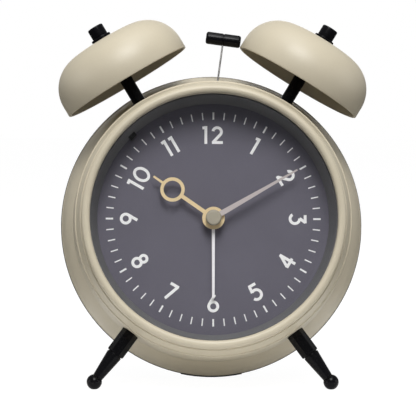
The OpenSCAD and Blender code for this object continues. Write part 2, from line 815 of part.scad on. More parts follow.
module lead_wires() {
  y = board_y + board_t + 0.65;
  end_y = bay_mid_y;
  end_x = bay_x - 0.04;
  motor_y = back_y - cover_t - 0.8;
  stand_up() {
    lead([[22, y, -16], [29.5, y + 1, -14], [31, 25, -20], [31, end_y, lead_z[0]],
      [end_x, end_y, lead_z[0]]], 0.5, "red");
    lead([[22, y, -19], [29.5, y + 1, -19], [31, 24, -28], [31, end_y, lead_z[1]],
      [end_x, end_y, lead_z[1]]], 0.5, black);
    lead([[14, y, 12], [20, 22, 15], [22, 32, 20], [19, motor_y, 23], [14, motor_y, 27]], 0.5, "red");
    lead([[11, y, 12], [17, 23, 14], [19, 33, 17], [15, motor_y, 19], [9, motor_y, 25]], 0.5, black);
    lead([[-23, y, 10], [-28, y, 13], [-32, 12, 17], [-33, 8, 26], [-32.2, 3, 31.6], [-30.84, 0.9, 31.38]],
      0.4, "red");
  }
}

// ---------------------------------------------------------------- movement: turning pieces

module minute_arbor() {
  color(brass) stand_up() {
    bar_y([0, 0], -5.6, housing_back_y - 0.2, arbor_r);
    slab(6.0, 7.1) gear_outline(cannon_z, work_mod, work_dir, true);
  }
}

module minute_work_wheel() {
  phase = mesh_phase(work_dir, cannon_z, work_dir, work_z);
  color(pale_plastic) stand_up() difference() {
    translate([work_at[0], 0, work_at[1]]) {
      slab(6.2, 7.0) gear_outline(work_z, work_mod, phase);
      slab(4.2, 6.2 + eps) gear_outline(work_leaf_z, hour_mod, work_dir, true);
    }
    bar_y(work_at, 3, 8, post_r + run);
  }
}

module hour_wheel() {
  phase = mesh_phase(work_dir, work_leaf_z, work_dir + 180, hour_z);
  color(pale_plastic) stand_up() difference() {
    union() {
      slab(4.4, 5.2) gear_outline(hour_z, hour_mod, phase);
      bar_y([0, 0], -4.0, 4.4 + eps, hour_tube_r);
    }
    bar_y([0, 0], -5, 6, arbor_r + run);
  }
}

module alarm_wheel() {
  color(pale_plastic) stand_up() difference() {
    union() {
      slab(3.0, 3.8) gear_outline(alarm_z, work_mod, alarm_dir);
      bar_y([0, 0], -2.4, 3.0 + eps, alarm_tube_r);
    }
    bar_y([0, 0], -5, 6, hour_tube_r + run);
  }
}

module time_shaft() {
  phase = mesh_phase(mesh_phase(work_dir, cannon_z, work_dir, work_z), work_z, knob_dir, knob_z);
  color(steel) stand_up() {
    bar_y(time_knob_at, 5.2, back_y + 5, shaft_r);
    translate([time_knob_at[0], 0, time_knob_at[1]])
      slab(5.9, 7.05) gear_outline(knob_z, work_mod, phase, true);
  }
}

module alarm_shaft() {
  phase = mesh_phase(alarm_dir, alarm_z, alarm_dir, alarm_pinion_z);
  color(steel) stand_up() {
    bar_y(alarm_knob_at, 2.5, back_y + 5, shaft_r);
    translate([alarm_knob_at[0], 0, alarm_knob_at[1]])
      slab(2.7, 4.0) gear_outline(alarm_pinion_z, work_mod, phase, true);
  }
}

module setting_knob(at) {
  color(black) stand_up() difference() {
    union() {
      bar_y(at, back_y + 0.5, back_y + 6.5, 6.2);
      bar_y(at, back_y + 6.5 - eps, back_y + 7.2, 5.4);
      for (a = [0:18:342]) bar_y(at + polar(6.2, a), back_y + 1, back_y + 6.2, 0.5, 16);
    }
    bar_y(at, back_y, back_y + 5.02, shaft_r + 0.01);
  }
}

module centre_wheel() {
  color(brass) stand_up() difference() {
    union() {
      slab(8.1, 8.8) gear_outline(centre_z, go_mod, third_dir);
      bar_y([0, 0], 8.8 - eps, 9.2, 2.4);
    }
    bar_y([0, 0], 7, 12, arbor_r + run);
  }
}

// A train wheel on its own pin: wheel and pinion outlines are given as children 0 and 1
module train_wheel(at, wheel_y, pinion_y) {
  color(brass) stand_up() translate([at[0], 0, at[1]]) {
    slab(wheel_y[0], wheel_y[1]) children(0);
    slab(pinion_y[0], pinion_y[1]) children(1);
    bar_y([0, 0], bridge_y + 0.1, housing_back_y - 0.2, train_pin_r);
  }
}

module third_wheel() {
  train_wheel(third_at, [9.5, 10.2], [7.95, 9.5 + eps]) {
    gear_outline(centre_z, go_mod, second_dir);
    gear_outline(leaf_z, go_mod, mesh_phase(third_dir, centre_z, third_dir, leaf_z), true);
  }
}

module second_wheel() {
  train_wheel(second_at, [11.0, 11.7], [9.35, 11.0 + eps]) {
    gear_outline(second_z, rotor_mod, rotor_dir);
    gear_outline(leaf_z, go_mod, mesh_phase(second_dir, centre_z, second_dir, leaf_z), true);
  }
}

module rotor() {
  train_wheel(rotor_at, [12.0, 13.6], [10.8, 12.0 + eps]) {
    circle(r = 2.6, $fn = 48);
    gear_outline(rotor_z, rotor_mod, mesh_phase(rotor_dir, second_z, rotor_dir, rotor_z), true);
  }
}

// ---------------------------------------------------------------- hands

// A hand at its angle, with its front face at depth y. Its outlines are children, and the hub is bored to r
module hand(angle, y, hub_r, bore_r) {
  stand_up() difference() {
    union() {
      bar_y([0, 0], y, y + hand_t, hub_r, 64);
      rotate([0, angle, 0]) for (i = [0:$children - 1]) slab(y, y + hand_t) children(i);
    }
    bar_y([0, 0], y - 1, y + 1, bore_r);
  }
}

module alarm_hand() {
  color("white") hand(alarm_angle, alarm_hand_y, 3.1, alarm_tube_r + press)
    polygon([[-0.6, 2.5], [-0.5, alarm_l], [0.5, alarm_l], [0.6, 2.5]]);
}

module hour_hand() {
  ring_at = 18.8;
  ring_r = 4.6;
  band = 1.27;
  point_base = ring_at + ring_r - 0.5;
  color([0.95, 0.87, 0.70]) hand(hour_angle, hour_hand_y, 4.25, hour_tube_r + press) {
    translate([-0.725, 2]) square([1.45, ring_at - ring_r + band / 2 - 2]);
    translate([0, ring_at]) difference() {
      circle(r = ring_r);
      circle(r = ring_r - band);
    }
    polygon([[-0.45, point_base], [-0.38, hour_l], [0.38, hour_l], [0.45, point_base]]);
  }
}

module minute_hand() {
  color([0.84, 0.80, 0.80]) hand(minute_angle, minute_hand_y, 2.8, arbor_r + press)
    polygon([[-1.05, 1.5], [-0.3, minute_l], [0.3, minute_l], [1.05, 1.5]]);
}

module hand_cap() {
  color(sand) stand_up() difference() {
    turned(64) polygon(concat(
      [[0, -5.22], [0, -7.1]],
      arc([2.2, -6.35], 0.75, 270, 360, 6),
      [[2.95, -5.22]]
    ));
    bar_y([0, 0], -5.7, -5, arbor_r + 0.01);
  }
}

// ---------------------------------------------------------------- striker and hammer

module striker_bracket() {
  color(steel) stand_up() {
    slab(bracket_y, bracket_y + bracket_t) difference() {
      translate([-13, 18.5]) square([32, 26]);
      translate(motor_at) circle(r = 3.4);
      translate([0, pivot_z]) circle(r = 0.8);
    }
    bar_y(striker_at, 15.6, bracket_y + eps, 1.0);
    for (at = [[-10, 22], [-10, 41], [16, 42]])
      bar_y(at, bracket_y + bracket_t - eps, back_y - cover_t, 2.0);
  }
}

module bell_motor() {
  y = bracket_y + bracket_t;
  stand_up() {
    color(steel) bar_y(motor_at, y, y + 16, motor_r);
    color(steel) bar_y(motor_at, bracket_y, y + eps, 3.2);
    color(pale_plastic) bar_y(motor_at, y + 16 - eps, y + 17.2, 6.5);
  }
}

module motor_pinion() {
  phase = mesh_phase(0, striker_z, 0, striker_pinion_z);
  color(brass) stand_up() translate([motor_at[0], 0, motor_at[1]]) {
    slab(15.9, 17.1) gear_outline(striker_pinion_z, striker_mod, phase, true);
    bar_y([0, 0], 15.6, bracket_y - 0.1, 1.0);
  }
}

module striker_gear() {
  color(pale_plastic) stand_up() translate([striker_at[0], 0, striker_at[1]]) {
    difference() {
      union() {
        slab(16.0, 17.0) gear_outline(striker_z, striker_mod, 0);
        bar_y([0, 0], 15.0, 16.0 + eps, 2.9);
      }
      bar_y([0, 0], 15.5, 18, 1.0 + run);
    }
    bar_y([-crank_r, 0], 12.9, 15.0 + eps, crank_pin_r);
  }
}

module hammer_pin() {
  color(steel) stand_up() {
    bar_y([0, pivot_z], 12.9, bracket_y + bracket_t, 0.8);
    bar_y([0, pivot_z], 12.3, 12.9 + eps, 1.5);
  }
}

// The hammer's own frame: origin on the pivot, +Z along the wire
module on_hammer() {
  translate([0, 0, pivot_z]) rotate([0, hammer_rest, 0]) children();
}

module hammer_lever() {
  depth = pivot_z - striker_at[1];
  prong = 1.6;
  color(steel) stand_up() on_hammer() difference() {
    union() {
      slab(lever_y, lever_y + lever_t) difference() {
        union() {
          circle(r = 2.6);
          translate([-1.6, -depth + 4]) square([3.2, depth - 4]);
          translate([-fork_half - prong, -depth - 3.4]) square([2 * (fork_half + prong), 8.4]);
          translate([-1.3, 0]) square([2.6, 6.5]);
        }
        translate([-fork_half, -depth - 4]) square([2 * fork_half, 7]);
      }
      bar_y([0, 0], lever_y - 0.3, bracket_y - 0.3, 1.7);
    }
    bar_y([0, 0], lever_y - 2, bracket_y + 1, 0.8 + run);
    translate([0, lever_mid_y, 3]) cylinder(r = wire_d / 2 + 0.01, h = 4, $fn = 24);
  }
}

module hammer_wire() {
  color(steel) stand_up() on_hammer() translate([0, lever_mid_y, 3])
    cylinder(r = wire_d / 2, h = hammer_l - 3 - 1, $fn = 24);
}

module hammer_head() {
  r = head_d / 2;
  half = head_l / 2;
  edge = 0.9;
  color(black) stand_up() on_hammer() translate([0, lever_mid_y, hammer_l]) difference() {
    rotate([0, 90, 0]) rotate_extrude() polygon([
      [0, -half], [r - edge, -half], [r, edge - half], [r, -0.3], [r - 0.2, -0.15],
      [r - 0.2, 0.15], [r, 0.3], [r, half - edge], [r - edge, half], [0, half]
    ]);
    translate([0, 0, -r - 1]) cylinder(r = wire_d / 2 + 0.01, h = r, $fn = 24);
  }
}

// ---------------------------------------------------------------- rear controls

module alarm_switch() {
  y = back_y - cover_t;
  color(black) stand_up() translate([switch_at[0] - switch_travel / 2, 0, switch_at[1]]) {
    translate([-8, y - 1.2, -3.5]) cube([16, 1.0, 7]);
    translate([-2.4, y - 0.3, -1.6]) cube([4.8, 4.2, 3.2]);
    for (i = [-1, 0, 1]) translate([1.4 * i - 0.3, y + 3.9 - eps, -1.6]) cube([0.6, 0.4, 3.2]);
  }
}

module light_button() {
  y = back_y - cover_t;
  tip_y = board_y + board_t + 2.8 + 1.4;
  color(sand) stand_up() {
    bar_y(button_at, y - 1.2, y - 0.2, button_r + 1);
    bar_y(button_at, y - 0.3, back_y + 1.6, button_r);
    bar_y(button_at, back_y + 1.6 - eps, back_y + 2.0, button_r - 0.5);
    bar_y(button_at, tip_y, y - 1, 1.4);
  }
}

case_shell();
bezel_ring();
front_glass();
glass_gasket();
dial_ring();
dial_plate();
minute_track();
dial_numerals();
lamp_holder();
bell(-1);  // bell_left
bell(1);  // bell_right
bell_stem(-1);  // bell_stem_left
bell_stem(1);  // bell_stem_right
bell_nut(-1);  // bell_nut_left
bell_nut(1);  // bell_nut_right
leg(1);  // leg_left
leg(-1);  // leg_right
stud_nuts();
rear_cover();
cover_screws();
battery(upper_cell_z, 1);  // battery_upper
battery(lower_cell_z, -1);  // battery_lower
battery_contacts();
movement_front();
movement_rear();
train_bridge();
centre_nut();
circuit_board();
board_parts();
coil();
stator();
striker_bracket();
bell_motor();
hammer_pin();
lead_wires();
minute_arbor();
minute_hand();
hand_cap();
hour_wheel();
hour_hand();
minute_work_wheel();
setting_knob(time_knob_at);  // time_knob
time_shaft();
alarm_wheel();
alarm_hand();
setting_knob(alarm_knob_at);  // alarm_knob
alarm_shaft();
centre_wheel();
third_wheel();
second_wheel();
rotor();
striker_gear();
motor_pinion();
hammer_lever();
hammer_wire();
hammer_head();
alarm_switch();
light_button();
battery_door();
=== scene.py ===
"""Twin-bell alarm clock: materials, smooth visual pieces, floor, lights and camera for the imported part."""

import json
import math

import bmesh
import bpy
from mathutils import Matrix, Vector


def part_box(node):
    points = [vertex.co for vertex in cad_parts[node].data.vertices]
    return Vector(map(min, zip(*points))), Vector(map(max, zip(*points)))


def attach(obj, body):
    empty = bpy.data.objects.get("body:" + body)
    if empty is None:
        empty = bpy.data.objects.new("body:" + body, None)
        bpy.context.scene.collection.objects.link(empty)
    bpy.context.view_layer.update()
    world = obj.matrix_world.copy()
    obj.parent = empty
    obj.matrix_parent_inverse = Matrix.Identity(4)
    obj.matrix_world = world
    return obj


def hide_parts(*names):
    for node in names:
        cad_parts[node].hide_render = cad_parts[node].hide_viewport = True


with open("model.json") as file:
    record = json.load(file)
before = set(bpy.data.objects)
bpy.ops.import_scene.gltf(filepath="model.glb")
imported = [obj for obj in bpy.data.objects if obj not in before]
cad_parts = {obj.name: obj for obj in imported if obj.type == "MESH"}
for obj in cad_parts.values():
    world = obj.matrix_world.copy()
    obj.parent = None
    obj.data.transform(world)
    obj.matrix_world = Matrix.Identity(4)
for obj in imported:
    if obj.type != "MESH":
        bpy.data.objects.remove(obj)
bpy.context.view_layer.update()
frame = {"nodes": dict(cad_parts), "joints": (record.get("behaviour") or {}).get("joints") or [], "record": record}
nodes = frame["nodes"]

MM = 0.001

# The clock's own frame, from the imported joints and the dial's box: its origin is on the dial's face, and +Y runs
# into the case
dial_t = 0.6
turn_axis = Vector(next(j for j in frame["joints"] if j["name"] == "minute_turn")["axis"]).normalized()
dial_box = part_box("dial_plate")
dial_centre = (dial_box[0] + dial_box[1]) / 2 - turn_axis * dial_t / 2 * MM
side = Vector((1, 0, 0))
axes = Matrix((side, turn_axis, side.cross(turn_axis))).transposed()
CLOCK = Matrix.Translation(dial_centre) @ axes.to_4x4()
DEPTH = CLOCK @ Matrix.Rotation(math.radians(-90), 4, "X")   # local +Z runs into the case

# Sizes in millimetres, as in the CAD
stack_r = 47.2
wall_front_r = 51.9
wall_taper = math.radians(5.3)
bezel_back_y = -3.5
flare_y, flare_end_y = 18.0, 29.5
flare_r, flare_curve_r = 58.7, 29.5
case_t = 1.0
bead_r = 0.8
bell_angle = math.radians(31.3)
bell_y, bell_gap = 14.3, 9.9
bell_r, bell_side_h, bell_shoulder_r = 26.3, 4.3, 14.2
bell_h, bell_t = 19.2, 1.0
stem_r = 2.5
leg_angle = math.radians(36.1)
leg_y, leg_hex_l, leg_hex_w, leg_ball_l, ball_r = 7.5, 10.0, 6.9, 23.1, 2.9
pivot_z, hammer_l, hammer_rest = 40.0, 31.5, math.radians(7.6)
lever_mid_y = 14.0
head_l, head_d = 13.6, 4.8


def wall_r(y):
    """Outer radius of the case wall at depth y."""
    return wall_front_r + (y - bezel_back_y) * math.tan(wall_taper)


def on_wall(angle, y):
    """A frame on the case wall whose +Z stands square on it, at an angle clockwise from straight up."""
    return (CLOCK @ Matrix.Rotation(angle, 4, "Y") @ Matrix.Translation(Vector((0, y, wall_r(y))) * MM)
            @ Matrix.Rotation(wall_taper, 4, "X"))


# ---------------------------------------------------------------- mesh helpers

def arc(centre, radius, a, b, n):
    """Points of an arc, with the angles in degrees."""
    return [(centre[0] + radius * math.cos(math.radians(a + (b - a) * i / n)),
             centre[1] + radius * math.sin(math.radians(a + (b - a) * i / n))) for i in range(n + 1)]


def softened(corners, closed=False, parts=5):
    """A path through (x, y, rounding) corners, with each corner turned into a small arc."""
    path = []
    for i, (x, y, soft) in enumerate(corners):
        here = Vector((x, y))
        if soft <= 0 or (not closed and i in (0, len(corners) - 1)):
            path.append((x, y))
            continue
        back = Vector(corners[i - 1][:2]) - here
        on = Vector(corners[(i + 1) % len(corners)][:2]) - here
        half = back.angle(on) / 2
        reach = min(soft / math.tan(half), 0.48 * back.length, 0.48 * on.length)
        centre = here + (back.normalized() + on.normalized()).normalized() * (reach / math.cos(half))
        a = here + back.normalized() * reach - centre
        b = here + on.normalized() * reach - centre
        start = math.atan2(a.y, a.x)
        sweep = (math.atan2(b.y, b.x) - start + math.pi) % (2 * math.pi) - math.pi
        for k in range(parts + 1):
            t = start + sweep * k / parts
            path.append((centre.x + a.length * math.cos(t), centre.y + a.length * math.sin(t)))
    return path


def finish_piece(name, bm, place, body, replaced=(), slot=None, sharp=32):
    """Turns a bmesh in metres, laid at a place, into a smooth piece that rides on a body."""
    bm.transform(place)
    bmesh.ops.recalc_face_normals(bm, faces=bm.faces)
    mesh = bpy.data.meshes.new(name)
    bm.to_mesh(mesh)
    bm.free()
    mesh.shade_smooth()
    mesh.set_sharp_from_angle(angle=math.radians(sharp))
    piece = bpy.data.objects.new(name, mesh)
    bpy.context.scene.collection.objects.link(piece)
    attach(piece, body)
    if replaced:
        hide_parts(*replaced)
    if slot:
        piece.data.materials.append(materials[slot])
    return piece


def revolve(bm, path, steps, closed=False):
    """Adds the surface of a (radius, height) path in millimetres turned about +Z."""
    rings = []
    for r, h in path:
        if r < 1e-6:
            rings.append([bm.verts.new(Vector((0, 0, h)) * MM)])
        else:
            rings.append([bm.verts.new(Vector((r * math.cos(2 * math.pi * k / steps),
                                               r * math.sin(2 * math.pi * k / steps), h)) * MM)
                          for k in range(steps)])
    pairs = list(zip(rings, rings[1:])) + ([(rings[-1], rings[0])] if closed else [])
    for a, b in pairs:
        for k in range(steps):
            n = (k + 1) % steps
            corners = [a[k % len(a)], a[n % len(a)], b[n % len(b)], b[k % len(b)]]
            face = list(dict.fromkeys(corners))
            if len(face) > 2:
                bm.faces.new(face)


def cut_box(piece, low, high, place):
    """Cuts a box, given in millimetres in a frame, out of a piece."""
    bm = bmesh.new()
    bmesh.ops.create_cube(bm, size=1)
    for v in bm.verts:
        v.co = Vector([(lo + hi) / 2 + c * (hi - lo) for c, lo, hi in zip(v.co, low, high)]) * MM
    mesh = bpy.data.meshes.new("cutter")
    bm.to_mesh(mesh)
    bm.free()
    cutter = bpy.data.objects.new("cutter", mesh)
    bpy.context.scene.collection.objects.link(cutter)
    cutter.matrix_world = place
    cut = piece.modifiers.new("slot", "BOOLEAN")
    cut.object, cut.operation, cut.solver = cutter, "DIFFERENCE", "EXACT"
    bpy.context.view_layer.update()
    made = bpy.data.meshes.new_from_object(piece.evaluated_get(bpy.context.evaluated_depsgraph_get()))
    piece.modifiers.clear()
    piece.data = made
    made.set_sharp_from_angle(angle=math.radians(32))
    bpy.data.objects.remove(cutter)


# ---------------------------------------------------------------- material helpers

class Surface:
    """A procedural Principled material. Textures are laid in the object's own coordinates, in metres."""

    def __init__(self, name, roughness=0.5, metallic=0.0, specular=0.5, coat=0.0, coat_roughness=0.1):
        self.material = bpy.data.materials.new(name)
        self.material.use_nodes = True
        self.tree = self.material.node_tree
        self.shader = self.tree.nodes["Principled BSDF"]
        self.shader.inputs["Roughness"].default_value = roughness
        self.shader.inputs["Metallic"].default_value = metallic
        self.shader.inputs["Specular IOR Level"].default_value = specular
        self.shader.inputs["Coat Weight"].default_value = coat
        self.shader.inputs["Coat Roughness"].default_value = coat_roughness
        self.place = self.tree.nodes.new("ShaderNodeTexCoord").outputs["Object"]
        self.normal = None

    def node(self, kind, **inputs):
        made = self.tree.nodes.new(kind)
        for key, value in inputs.items():
            socket = made.inputs[key.replace("_", " ")]
            if isinstance(value, bpy.types.NodeSocket):
                self.tree.links.new(value, socket)
            else:
                socket.default_value = value
        return made

    def stretched(self, x, y, z):
        """The coordinates scaled along each axis, for grain."""
        return self.node("ShaderNodeMapping", Vector=self.place, Scale=(x, y, z)).outputs["Vector"]

    def noise(self, per_metre, detail=2.0, place=None):
        made = self.node("ShaderNodeTexNoise", Vector=place or self.place, Scale=per_metre, Detail=detail)
        return made.outputs["Fac"]

    def between(self, factor, low, high, start=0.3, end=0.7):
        """A number that goes from low to high as factor goes from start to end."""
        return self.node("ShaderNodeMapRange", Value=factor, From_Min=start, From_Max=end, To_Min=low,
                         To_Max=high).outputs["Result"]

    def mixed(self, factor, a, b):
        mix = self.tree.nodes.new("ShaderNodeMix")
        mix.data_type = "RGBA"
        self.tree.links.new(factor, mix.inputs["Factor"])
        for value, key in ((a, 6), (b, 7)):
            if isinstance(value, bpy.types.NodeSocket):
                self.tree.links.new(value, mix.inputs[key])
            else:
                mix.inputs[key].default_value = (*value, 1)
        return mix.outputs[2]

    def colour(self, rgb, spread=0.06, per_metre=90.0, grain=0.03, grain_per_metre=2500.0):
        """A colour with broad cloudy variation and a fine grain over it."""
        darker, lighter = [tuple(c * k for c in rgb) for k in (1 - spread, 1 + spread)]
        cloudy = self.mixed(self.between(self.noise(per_metre, 3), 0, 1), darker, lighter)
        fine = self.node("ShaderNodeHueSaturation", Color=cloudy,
                         Value=self.between(self.noise(grain_per_metre, 2), 1 - grain, 1 + grain))
        self.set_colour(fine.outputs["Color"])
        return self

    def set_colour(self, socket):
        self.tree.links.new(socket, self.shader.inputs["Base Color"])
        return self

    def rough(self, low, high, per_metre=400.0):
        roughness = self.between(self.noise(per_metre, 3), low, high)
        self.tree.links.new(roughness, self.shader.inputs["Roughness"])
        return self

    def bump(self, height, depth_mm, strength=1.0):
        """Raises the surface by a height socket times a depth in millimetres."""
        made = self.node("ShaderNodeBump", Height=height, Distance=depth_mm * MM, Strength=strength)
        if self.normal is not None:
            self.tree.links.new(self.normal, made.inputs["Normal"])
        self.normal = made.outputs["Normal"]
        self.tree.links.new(self.normal, self.shader.inputs["Normal"])
        return self


# ---------------------------------------------------------------- materials, one function for each slot

def sand_paint():
    s = Surface("sand_paint", specular=0.5).colour((0.545, 0.488, 0.370), 0.02, 60, 0.02, 3500)
    s.rough(0.40, 0.48, 900)
    s.bump(s.noise(1100, 2), 0.012).bump(s.noise(5200, 2), 0.004)
    return s


def sand_plastic():
    s = Surface("sand_plastic", specular=0.4).colour((0.40, 0.365, 0.285), 0.03, 120, 0.03, 4000)
    s.rough(0.36, 0.46, 1200)
    s.bump(s.noise(4200, 3), 0.006)
    return s


def black_metal():
    s = Surface("black_metal", specular=0.14).colour((0.0022, 0.0022, 0.0033), 0.12, 150, 0.08, 3000)
    s.rough(0.22, 0.28, 1500)
    s.bump(s.noise(2200, 2), 0.006).bump(s.noise(7000, 1), 0.003)
    return s


def black_plastic():
    s = Surface("black_plastic", specular=0.4).colour((0.016, 0.016, 0.017), 0.08, 100, 0.08, 3500)
    s.rough(0.46, 0.58, 1800)
    s.bump(s.noise(2600, 4), 0.03).bump(s.noise(9000, 2), 0.008)
    return s


def gasket():
    s = Surface("gasket", specular=0.3).colour((0.014, 0.014, 0.014), 0.1, 200, 0.1, 4000)
    s.rough(0.6, 0.75, 2000)
    s.bump(s.noise(6000, 2), 0.01)
    return s


def ring_plastic():
    s = Surface("ring_plastic", specular=0.3).colour((0.17, 0.17, 0.173), 0.03, 120, 0.03, 3500)
    s.rough(0.55, 0.65, 1500)
    s.bump(s.noise(5000, 3), 0.006)
    return s


def dial_paint():
    s = Surface("dial_paint", specular=0.25)
    weave = s.noise(1.0, 3, s.stretched(1400, 1400, 3600))
    s.colour((0.145, 0.138, 0.172), 0.03, 70, 0.05, 2600)
    s.rough(0.60, 0.70, 900)
    s.bump(weave, 0.012).bump(s.noise(6000, 2), 0.004)
    return s


def dial_print():
    s = Surface("dial_print", specular=0.3).colour((0.985, 0.985, 0.985), 0.015, 300, 0.02, 5000)
    s.rough(0.5, 0.6, 2000)
    s.bump(s.noise(8000, 2), 0.003)
    return s


def hand_paint(name, rgb, low, high):
    s = Surface(name, specular=0.45).colour(rgb, 0.025, 250, 0.02, 5000)
    s.rough(low, high, 2500)
    s.bump(s.noise(5000, 2), 0.003)
    return s


def movement_plastic():
    s = Surface("movement_plastic", specular=0.4).colour((0.70, 0.69, 0.63), 0.03, 150, 0.02, 3000)
    s.rough(0.38, 0.5, 1500)
    s.bump(s.noise(3500, 3), 0.01)
    return s


def metal(name, rgb, low, high, grain=(300, 6000, 300)):
    """Bare metal with a drawn grain."""
    s = Surface(name, metallic=1.0).colour(rgb, 0.04, 200, 0.05, 4000)
    drawn = s.noise(1.0, 4, s.stretched(*grain))
    s.tree.links.new(s.between(drawn, low, high), s.shader.inputs["Roughness"])
    s.bump(drawn, 0.006)
    return s


def board():
    s = Surface("board", specular=0.5, coat=0.4, coat_roughness=0.2)
    tracks = s.node("ShaderNodeTexBrick", Vector=s.stretched(1, 0, 1), Scale=260.0, Mortar_Size=0.12)
    lines = s.between(tracks.outputs["Fac"], 0, 1, 0.2, 0.8)
    s.set_colour(s.mixed(lines, (0.012, 0.10, 0.045), (0.03, 0.19, 0.08)))
    s.rough(0.3, 0.42, 900)
    s.bump(lines, 0.03)
    return s


def copper():
    s = Surface("copper", metallic=1.0)
    turns_and_groove_shade = s.node("ShaderNodeTexWave", Vector=s.stretched(0, 0, 1), Scale=900.0, Distortion=0.4)
    turns_and_groove_shade.bands_direction = "Z"
    # Painted shade: the colour goes darker where the bump is low, in the grooves between the turns
    s.set_colour(s.mixed(turns_and_groove_shade.outputs["Fac"], (0.30, 0.09, 0.03), (0.72, 0.30, 0.13)))
    s.rough(0.25, 0.38, 2000)
    s.bump(turns_and_groove_shade.outputs["Fac"], 0.08)
    return s


def cell_jacket():
    """A plain printed film round the cell, with a copper-coloured band near each end, and bare steel ends."""
    half_film, band_start, edge_w = 0.0243, 0.0150, 0.0001
    s = Surface("cell_jacket", specular=0.5, coat=0.5, coat_roughness=0.12)
    along = s.node("ShaderNodeSeparateXYZ", Vector=s.place).outputs["X"]
    from_middle = s.tree.nodes.new("ShaderNodeMath")
    from_middle.operation = "ABSOLUTE"
    s.tree.links.new(along, from_middle.inputs[0])
    band = s.between(from_middle.outputs["Value"], 0, 1, band_start, band_start + 2 * edge_w)
    bare = s.between(from_middle.outputs["Value"], 0, 1, half_film, half_film + edge_w)
    film = s.mixed(band, (0.015, 0.015, 0.018), (0.42, 0.20, 0.07))
    s.set_colour(s.mixed(bare, film, (0.62, 0.62, 0.63)))
    s.tree.links.new(bare, s.shader.inputs["Metallic"])
    s.rough(0.22, 0.32, 700)
    s.bump(s.noise(900, 2), 0.01)
    return s


def wire_jacket():
    s = Surface("wire_jacket", specular=0.5).colour((0.42, 0.02, 0.02), 0.08, 300, 0.04, 3000)
    s.rough(0.3, 0.42, 2000)
    s.bump(s.noise(2500, 2), 0.02)
    return s


def glass():
    """Clear flat glass: nearly all see-through, with more gloss towards grazing angles."""
    s = Surface("glass", specular=0.5).colour((0.030, 0.034, 0.034), 0.01, 50, 0.005, 500)
    s.rough(0.02, 0.04, 120)
    edge = s.node("ShaderNodeLayerWeight", Blend=0.2).outputs["Fresnel"]
    s.tree.links.new(s.between(edge, 0.02, 0.35, 0.0, 1.0), s.shader.inputs["Alpha"])
    return s


def make_materials():
    made = {
        "sand_paint": sand_paint(), "sand_plastic": sand_plastic(), "black_metal": black_metal(),
        "black_plastic": black_plastic(), "gasket": gasket(), "ring_plastic": ring_plastic(),
        "dial_paint": dial_paint(), "dial_print": dial_print(), "movement_plastic": movement_plastic(),
        "hour_hand_paint": hand_paint("hour_hand_paint", (0.84, 0.66, 0.38), 0.42, 0.52),
        "minute_hand_paint": hand_paint("minute_hand_paint", (0.56, 0.50, 0.49), 0.40, 0.50),
        "alarm_hand_paint": hand_paint("alarm_hand_paint", (0.95, 0.93, 0.95), 0.42, 0.52),
        "steel": metal("steel", (0.60, 0.60, 0.61), 0.22, 0.36),
        "brass": metal("brass", (0.72, 0.50, 0.20), 0.2, 0.34),
        "board": board(), "copper": copper(), "cell_jacket": cell_jacket(), "wire_jacket": wire_jacket(),
        "glass": glass(),
    }
    return {slot: surface.material for slot, surface in made.items()}


def paint_cad_nodes():
    """Gives every CAD node the material of its slot in the record."""
    for part in frame["record"]["subparts"]:
        node = nodes[part["node"]]
        if not node.material_slots:
            node.data.materials.append(None)
        for held in node.material_slots:
            held.material = materials[part["material_slot"]]


# ---------------------------------------------------------------- case and front

def case_path():
    """The case's section: a narrow front wall, a tapered drum and a flare with a rolled bead."""
    wall = (wall_r(flare_y), flare_y)
    chord = Vector((flare_r - wall[0], flare_end_y - wall[1]))
    across = Vector((-chord.y, chord.x)).normalized()
    centre = Vector(((wall[0] + flare_r) / 2, (wall[1] + flare_end_y) / 2))
    centre += across * math.sqrt(flare_curve_r ** 2 - chord.length ** 2 / 4)
    ends = [math.degrees(math.atan2(y - centre.y, x - centre.x)) for x, y in (wall, (flare_r, flare_end_y))]
    if ends[1] - ends[0] > 180:
        ends[1] -= 360
    if ends[0] - ends[1] > 180:
        ends[0] -= 360
    outer = arc(centre, flare_curve_r, ends[0], ends[1], 28)
    inner = [(x - case_t * 1.12, y + case_t * 0.35) for x, y in reversed(outer)]
    bead_at = (flare_r - 0.3, flare_end_y + 0.9)
    bead = arc(bead_at, bead_r, -45, 170, 14)
    front = [(wall_r(y), y) for y in (-2.6, 2, 7, 11.8, 16.2)]
    back = [(wall_r(y) - case_t, y) for y in (16.2, 11.8, 7, 2, -1.8)]
    start = [(stack_r + 0.4, bezel_back_y), (wall_front_r - 0.25, bezel_back_y),
             (wall_front_r - 0.05, bezel_back_y + 0.2)]
    return start + front + outer[:-1] + bead + inner[1:] + back + [(stack_r + 0.4, bezel_back_y + case_t)]


def case_shell():
    """The case as a thin turned shell, with the slot that the hammer's wire swings in."""
    slot_half_l, slot_w, slot_low, slot_high = 4, 3, 46, 58
    bm = bmesh.new()
    revolve(bm, case_path(), 256, closed=True)
    piece = finish_piece("case", bm, DEPTH, "clock", ["case_shell"], "sand_paint")
    cut_box(piece, (-slot_half_l, lever_mid_y - slot_w / 2, slot_low),
            (slot_half_l, lever_mid_y + slot_w / 2, slot_high), CLOCK)


